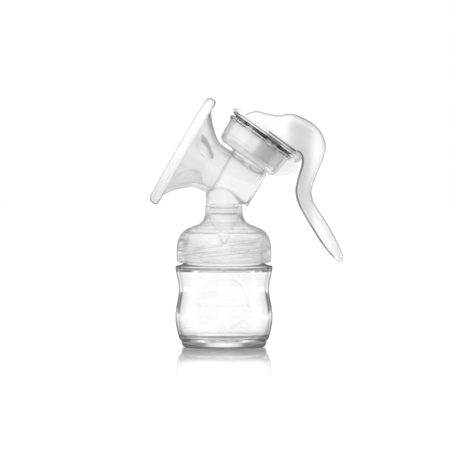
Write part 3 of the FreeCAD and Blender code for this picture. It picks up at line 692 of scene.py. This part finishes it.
def make_diaphragm():
    """Bowl with a lip over the cup's flange, a folded floor and a socket for the stem's foot."""
    stretches = [
        (0.3, [(25.3, 3.9), (25.6, 4.2), (25.6, 4.8), (25.2, 5.1)]),
        (1.0, [(25.2, 5.1), (22.6, 5.1)]),
        (0.5, [(22.6, 5.1), (20.9, 4.4), (20.6, 2.6)]),
        (0.8, [(20.6, 2.6), (19.7, -8.6)]),
        (0.5, [(19.7, -8.6), (17.6, -10.6), (14.2, -11.1), (11.6, -9.9), (9.4, -9.2), (6.6, -10.2)]),
        (0.7, [(6.6, -10.2), (6.4, -6.8), (5.6, -6.4)]),
        (1.0, [(5.6, -6.4), (2.0, -6.4)]),
        (1.0, [(2.0, -6.4), (2.0, -8.7)]),
        (1.0, [(2.0, -8.7), (4.7, -8.7), (4.7, -10.7)]),
        (1.0, [(4.7, -10.7), (0, -10.7)]),
        (1.5, [(0, -12.4), (7.0, -12.4)]),
        (0.5, [(7.0, -12.4), (9.6, -11.5), (12.0, -12.0), (14.2, -12.4), (18.8, -11.8), (20.9, -9.0)]),
        (0.8, [(20.9, -9.0), (21.9, 2.2)]),
        (0.5, [(21.9, 2.2), (22.1, 3.0), (22.6, 3.1)]),
        (0.5, [(22.6, 3.1), (25.3, 3.9)]),
    ]
    bowl = lathe("silicone_diaphragm", stretches, CUP, 220)
    piece(bowl, None, BOWL, "clear_silicone", "diaphragm")

    # painted shade: the lip's underside in the groove gets the near-black dashes
    def in_groove(x, y, w):
        r = np.hypot(x, y)
        return (r > 22.5) & (w > 3.0) & (w < 3.85)

    paint(bowl, GAP, CUP, in_groove)
    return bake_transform(bowl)


def make_stem():
    stretches = [
        (1.0, [(0, -10.6), (4.2, -10.6)]),
        (0.3, [(4.2, -10.6), (4.6, -10.2), (4.6, -9.2), (4.2, -8.8)]),
        (0.8, [(4.2, -8.8), (1.9, -8.8)]),
        (1.5, [(1.9, -8.8), (1.9, 7.76)]),
        (0.4, arc((0, 10.7), 3.5, -57, 90, 14)),
    ]
    stem = lathe("lift_stem", stretches, CUP, 96)
    return piece(stem, "stem", STEM, "white_plastic", "diaphragm_stem")


# ---------------------------------------------------------------- lever
LEVER_STATIONS = [
    # outer x, z; inner x, z; half width; crown depth
    (14.6, 160.9, 12.6, 158.2, 6.0, 0.8),
    (18.4, 162.6, 14.0, 154.8, 12.0, 3.0),
    (22.9, 163.3, 18.4, 151.2, 16.2, 5.0),
    (29.9, 161.7, 25.0, 146.8, 18.2, 6.6),
    (37.9, 160.5, 32.6, 141.8, 18.2, 7.4),
    (46.8, 161.5, 40.4, 137.4, 17.0, 7.8),
    (55.1, 158.6, 47.4, 135.6, 15.6, 7.4),
    (62.7, 153.9, 51.2, 134.9, 14.7, 6.0),
    (68.2, 147.2, 53.3, 132.7, 14.2, 4.6),
    (70.4, 139.8, 54.2, 129.8, 13.8, 3.8),
    (69.2, 132.2, 53.9, 125.8, 13.2, 3.3),
    (66.1, 123.9, 52.4, 120.6, 12.0, 3.0),
    (62.7, 115.6, 50.7, 114.3, 10.9, 2.8),
    (60.7, 107.4, 49.7, 107.6, 10.1, 2.8),
    (61.8, 101.1, 51.1, 100.6, 9.9, 2.8),
    (65.4, 95.0, 55.2, 92.0, 10.2, 2.8),
    (70.4, 87.3, 60.6, 83.0, 10.5, 2.8),
    (77.4, 74.9, 68.8, 70.2, 9.9, 2.4),
    (81.1, 67.0, 74.2, 63.6, 7.8, 1.8),
    (82.7, 61.7, 78.4, 59.4, 4.9, 1.0),
    (82.6, 59.2, 80.2, 58.3, 2.6, 0.5),
]


def lever_rows(step):
    return smooth_run(LEVER_STATIONS, step)


def lever_ring(row, inset=0.0, open_by=0.0):
    """A section across the lever: domed back, slightly hollow sides and a bead along the inner edge."""
    outer, inner = Vector((row[0], 0, row[1])), Vector((row[2], 0, row[3]))
    depth = (outer - inner).length
    along = (inner - outer).normalized()
    w, crown = row[4] - inset, min(row[5], depth * 0.45)
    bead = 0.0 if inset else min(1.1, depth * 0.15)
    hollow = 0.0 if inset else min(0.7, w * 0.08)
    dome = [(w * math.sin(a), inset + crown * (1 - math.cos(a))) for a in np.radians(np.linspace(0, 88, 15))]
    start, end = inset + crown + 0.2, depth - bead - 0.3
    side = [(w - hollow * math.sin(math.pi * s), start + (end - start) * s) for s in np.linspace(0, 1, 7)]
    lip = [(w + bead * 0.3, depth - bead * 0.8), (w + bead * 0.3, depth - 0.2), (w - 0.5, depth + open_by)]
    right = dome + side + lip
    left = [(-y, d) for y, d in reversed(right[1:])]
    return [outer + along * d + Vector((0, y, 0)) for y, d in right + left]


def lever_blank():
    return loft("squeeze_lever", [lever_ring(row) for row in lever_rows(0.9)], BOTTLE)


def lever_hollow():
    rows = lever_rows(1.6)
    rows = [row for row in rows[4:] if row[4] > 5.2]
    return loft("lever_hollow", [lever_ring(row, LEVER_WALL, HOLLOW_OPEN_BY) for row in rows], BOTTLE)


def lever_brim():
    stretches = [
        (0.3, [(26.0, BRIM_LOW), (26.4, 5.7)]),
        (0.3, [(26.4, 5.7), (BRIM_R, 6.0), (BRIM_R, 6.5)]),
        (0.3, [(BRIM_R, 6.5), (26.0, 7.0), (25.8, 7.6)]),
        (0.3, [(25.8, 7.6), (25.5, BRIM_TOP)]),
        (1.5, [(25.5, BRIM_TOP), (0, BRIM_TOP + 0.05)]),
        (1.5, [(0, BRIM_LOW), (26.0, BRIM_LOW)]),
    ]
    return lathe("brim", stretches, CUP, 240)


def box_in_cup(low, high):
    (x0, y0, z0), (x1, y1, z1) = low, high
    square = [(x0, y0), (x1, y0), (x1, y1), (x0, y1)]
    return loft("box", [[(x, y, z) for x, y in square] for z in (z0, z1)], CUP)


def pin_space(r, low_y, high_y):
    place = Matrix.Translation(PIVOT) @ Matrix.Rotation(math.radians(-90), 4, "X") @ Matrix.Scale(MM, 4)
    return cylinder("pin_space", r, low_y, high_y, place, 64)


def hinge_hook(side):
    low, high = sorted((side * HOOK_LOW_Y, side * HOOK_HIGH_Y))
    centre = (PIVOT_X, PIVOT_W)
    outer = arc(centre, HOOK_R, 52, -68, 22)
    inner = arc(centre, HOOK_BORE, -68, 150, 22)
    top = [(26.0, 6.8), (26.6, 9.6), (36.0, 9.6)]
    return plate_along_y("hinge_hook", outer + inner + top, low, high)


def make_lever():
    lever = lever_blank()
    below = box_in_cup((-40, -40, -60), (27.1, 40, BRIM_TOP - 0.02))
    combine(lever, [lever_hollow(), below], "DIFFERENCE")
    brim = lever_brim()
    low, high = BRIM_LOW - 1.0, BRIM_TOP + 1.3
    slot = box_in_cup((KEYHOLE_X, -SLOT_HALF, low), (SLOT_NEAR, SLOT_HALF, high))
    slot_end = cylinder("slot_end", SLOT_HALF, low, high, CUP, 48, x=SLOT_NEAR)
    keyhole = cylinder("keyhole", KEYHOLE_R, low, high, CUP, 64, x=KEYHOLE_X)
    combine(brim, [slot, slot_end, keyhole], "DIFFERENCE")
    near, far = EAR_Y - 0.4, EAR_Y + EAR_T + 0.4
    notches = [pin_space(EAR_R + 0.4, -far, -near), pin_space(EAR_R + 0.4, near, far)]
    combine(lever, [brim, hinge_hook(-1), hinge_hook(1)], "UNION")
    combine(lever, notches, "DIFFERENCE")
    piece(lever, "lever", LEVER, "lever_plastic",
          "lever_shell", "lever_brim", "hinge_hook_left", "hinge_hook_right")
    # painted shade: a thin dark line along the lever's inner edge and on the brim's top edge, for the shade at
    # the shell's rim
    to_cup = np.array(CUP.inverted() @ BOTTLE)
    edge = lever_rows(0.6)[:, 2:4]

    def at_edge(x, y, z):
        local = np.column_stack([x, y, z]) @ to_cup[:3, :3].T + to_cup[:3, 3]
        r = np.hypot(local[:, 0], local[:, 1])
        on_brim = (r > 25.4) & (r < 26.6) & (local[:, 2] > 6.55) & (local[:, 2] < 7.65) & (local[:, 0] > 2)
        beyond_brim = (local[:, 2] > 7.8) | (local[:, 0] > 27.2)
        spots = np.column_stack([x, z])
        nearest = np.min(np.linalg.norm(spots[:, None, :] - edge[None, :, :], axis=2), axis=1)
        return on_brim | ((nearest < 0.62) & beyond_brim & (np.abs(y) > 2) & (z > 62))

    return paint(lever, LIP_EDGE_SHADE, BOTTLE, at_edge)


# ---------------------------------------------------------------- studio
def grey_ramp(nodes, links, source, stops):
    """A grey that follows the source through (position, value) stops."""
    node = nodes.new("ShaderNodeValToRGB")
    elements = node.color_ramp.elements
    for spot, grey in stops[1:-1]:
        elements.new(spot).color = (grey, grey, grey, 1)
    for element, (spot, grey) in ((elements[0], stops[0]), (elements[-1], stops[-1])):
        element.position, element.color = spot, (grey, grey, grey, 1)
    links.new(source, node.inputs["Fac"])
    return node.outputs["Color"]


def calculate(nodes, links, operation, first, second=None):
    node = nodes.new("ShaderNodeMath")
    node.operation = operation
    links.new(first, node.inputs[0])
    if isinstance(second, float):
        node.inputs[1].default_value = second
    elif second:
        links.new(second, node.inputs[1])
    return node.outputs["Value"]


def blended(nodes, links, blend, first, second):
    node = nodes.new("ShaderNodeMix")
    node.data_type = "RGBA"
    node.blend_type = blend
    node.inputs["Factor"].default_value = 1.0
    links.new(first, node.inputs["A"])
    links.new(second, node.inputs["B"])
    return node.outputs["Result"]


FLOOR_SHEEN = [(0.08, 0.80), (0.24, 0.58), (0.44, 0.30), (0.72, 0.16), (1.0, 0.04)]


def stage_material():
    """A pale, glowing sheet that also mirrors its surroundings, most strongly around the pump's foot."""
    material = bpy.data.materials.new("studio_floor")
    material.use_nodes = True
    nodes, links = material.node_tree.nodes, material.node_tree.links
    sheet = nodes["Principled BSDF"]
    sheet.inputs["Base Color"].default_value = (0.5, 0.5, 0.5, 1)
    sheet.inputs["Roughness"].default_value = 0.9
    sheet.inputs["Specular IOR Level"].default_value = 0.0
    sheet.inputs["Emission Color"].default_value = (1, 1, 1, 1)
    path = nodes.new("ShaderNodeLightPath")
    seen = calculate(nodes, links, "MAXIMUM",
                     path.outputs["Is Camera Ray"], path.outputs["Is Transmission Ray"])
    glow = map_range(nodes, links, seen, (0, 1), (0.44, 0.55))
    links.new(glow, sheet.inputs["Emission Strength"])
    gloss = nodes.new("ShaderNodeBsdfAnisotropic")
    gloss.inputs["Color"].default_value = (1, 0.975, 0.98, 1)
    gloss.inputs["Roughness"].default_value = 0.05
    place = nodes.new("ShaderNodeTexCoord")
    reach = nodes.new("ShaderNodeVectorMath")
    reach.operation = "LENGTH"
    links.new(place.outputs["Object"], reach.inputs[0])
    doubled = calculate(nodes, links, "MULTIPLY", reach.outputs["Value"], 2.0)
    mix = nodes.new("ShaderNodeMixShader")
    links.new(grey_ramp(nodes, links, doubled, FLOOR_SHEEN), mix.inputs["Fac"])
    links.new(sheet.outputs["BSDF"], mix.inputs[1])
    links.new(gloss.outputs["BSDF"], mix.inputs[2])
    links.new(mix.outputs["Shader"], nodes["Material Output"].inputs["Surface"])
    return material


FLOOR_HALF = 6.0
LIGHTS_AIM = Vector((0, 0, 0.08))


def make_floor():
    corners = [(x * FLOOR_HALF, y * FLOOR_HALF, 0) for x, y in ((-1, -1), (1, -1), (1, 1), (-1, 1))]
    mesh = bpy.data.meshes.new("floor")
    mesh.from_pydata(corners, [], [(0, 1, 2, 3)])
    floor = bpy.data.objects.new("floor", mesh)
    bpy.context.scene.collection.objects.link(floor)
    floor.location.z = -0.0002
    mesh.materials.append(stage_material())


def area_light(name, place, size, power, mirrored):
    data = bpy.data.lights.new(name, "AREA")
    data.shape = "RECTANGLE"
    data.size, data.size_y = size
    data.energy = power
    light = bpy.data.objects.new(name, data)
    bpy.context.scene.collection.objects.link(light)
    light.location = place
    light.rotation_euler = (LIGHTS_AIM - Vector(place)).to_track_quat("-Z", "Y").to_euler()
    light.visible_camera = False
    light.visible_glossy = mirrored
    light.visible_transmission = False


SIDE_SECTORS = [(0.0, 1.0), (0.10, 0.96), (0.24, 0.70), (0.34, 0.22), (0.62, 0.22), (1.0, 0.6)]
SECTOR_FADE = [(0.0, 1.0), (0.15, 1.0), (0.35, 0.5), (1.0, 0.5)]
TOP_WINDOW = [(0.0, 0.0), (0.6, 0.0), (0.8, 1.3), (1.0, 1.3)]


def make_world():
    """White to the camera; to the pump, four bright walls with dark corners between them and a top window."""
    world = bpy.data.worlds.new("studio")
    bpy.context.scene.world = world
    world.use_nodes = True
    nodes, links = world.node_tree.nodes, world.node_tree.links
    nodes.clear()
    place = nodes.new("ShaderNodeTexCoord")
    split = nodes.new("ShaderNodeSeparateXYZ")
    links.new(place.outputs["Generated"], split.inputs["Vector"])
    x, y = (calculate(nodes, links, "ABSOLUTE", split.outputs[axis]) for axis in "XY")
    corner = calculate(nodes, links, "MINIMUM", x, y)
    walls = blended(nodes, links, "MULTIPLY", grey_ramp(nodes, links, corner, SIDE_SECTORS),
                    grey_ramp(nodes, links, split.outputs["Z"], SECTOR_FADE))
    room = blended(nodes, links, "ADD", walls, grey_ramp(nodes, links, split.outputs["Z"], TOP_WINDOW))
    path = nodes.new("ShaderNodeLightPath")
    seen = nodes.new("ShaderNodeMix")
    seen.data_type = "RGBA"
    seen.inputs["B"].default_value = (1, 1, 1, 1)
    links.new(path.outputs["Is Camera Ray"], seen.inputs["Factor"])
    links.new(room, seen.inputs["A"])
    glow = nodes.new("ShaderNodeBackground")
    out = nodes.new("ShaderNodeOutputWorld")
    links.new(seen.outputs["Result"], glow.inputs["Color"])
    links.new(glow.outputs["Background"], out.inputs["Surface"])


CAMERA_PLACE, CAMERA_AIM, CAMERA_LENS = (0.0007, -1.8, 0.124), (0.0007, 0, 0.0844), 207.8
LIGHTS = [
    # name, place, size, power, seen in reflections
    ("key", (-0.9, -1.1, 1.2), (0.9, 0.9), 9, False),
    ("fill", (1.2, -0.9, 0.7), (0.8, 0.8), 7, False),
    ("softbox", (-0.95, -0.95, 0.72), (1.4, 0.7), 5, True),
]


def make_camera():
    data = bpy.data.cameras.new("camera")
    data.lens = CAMERA_LENS
    data.sensor_width = 36
    data.clip_start = 0.05
    camera = bpy.data.objects.new("camera", data)
    bpy.context.scene.collection.objects.link(camera)
    camera.location = CAMERA_PLACE
    camera.rotation_euler = (Vector(CAMERA_AIM) - camera.location).to_track_quat("-Z", "Y").to_euler()
    bpy.context.scene.camera = camera


make_camera()
make_world()
make_floor()
for light_settings in LIGHTS:
    area_light(*light_settings)
bpy.context.scene.view_settings.view_transform = "Standard"

make_bottle()
make_valve()
make_pump_body()
make_hinge_pin()
make_cushion()
make_diaphragm()
make_stem()
make_lever()
